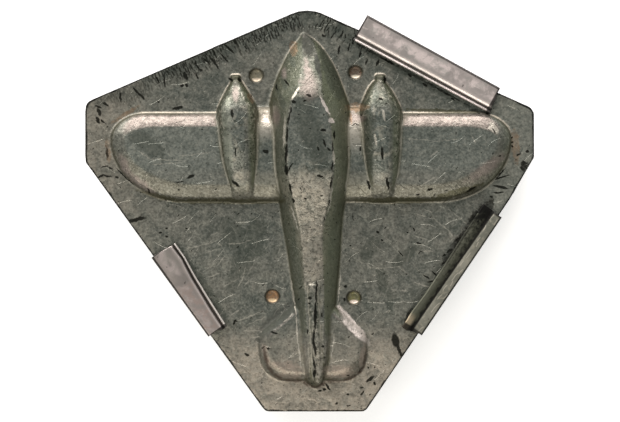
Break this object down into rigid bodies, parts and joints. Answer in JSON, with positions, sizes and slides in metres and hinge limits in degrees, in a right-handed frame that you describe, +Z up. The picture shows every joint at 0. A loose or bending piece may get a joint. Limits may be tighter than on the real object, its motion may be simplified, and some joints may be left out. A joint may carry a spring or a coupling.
{
  "type": "chocolate mould",
  "caption": "Pressed tin chocolate mould for a solid aeroplane figure: mating sheet halves with nesting dimples, gripped along their edges by folded spring clips.",
  "frame": {"origin": "below the middle of the flanges' outline, on the surface the closed mould lies on", "axes": "+X along the wings towards the long lower clip, +Y towards the aeroplane's nose, +Z up out of the front half"},
  "size_m": [0.1706, 0.1525, 0.0253],
  "materials": {
    "tinned_front": "old tinned steel, scratched and stained",
    "tinned_back": "old tinned steel, scratched and stained",
    "clip_metal": "dull nickel-like sheet with cloudy patches",
    "clip_metal_worn": "tarnished sheet with brown stains"
  },
  "bodies": {
    "back": {"back_half": "tinned_back"},
    "front": {"front_half": "tinned_front"},
    "upper_right_clip": {"clip_upper_right": "clip_metal"},
    "lower_left_clip": {"clip_lower_left": "clip_metal"},
    "lower_right_clip": {"clip_lower_right": "clip_metal_worn"}
  },
  "joints": [
    {"name": "front_half_lift", "type": "slide", "parent": "back", "child": "front", "axis": [0, 0, 1], "range_m": [0, 0.04]},
    {"name": "clip_upper_right_pull", "type": "slide", "parent": "back", "child": "upper_right_clip", "axis": [0.4821, 0.8761, 0], "range_m": [0, 0.02]},
    {"name": "clip_lower_left_pull", "type": "slide", "parent": "back", "child": "lower_left_clip", "axis": [-0.8113, -0.5846, 0], "range_m": [0, 0.02]},
    {"name": "clip_lower_right_pull", "type": "slide", "parent": "back", "child": "lower_right_clip", "axis": [0.8268, -0.5625, 0], "range_m": [0, 0.02]}
  ]
}
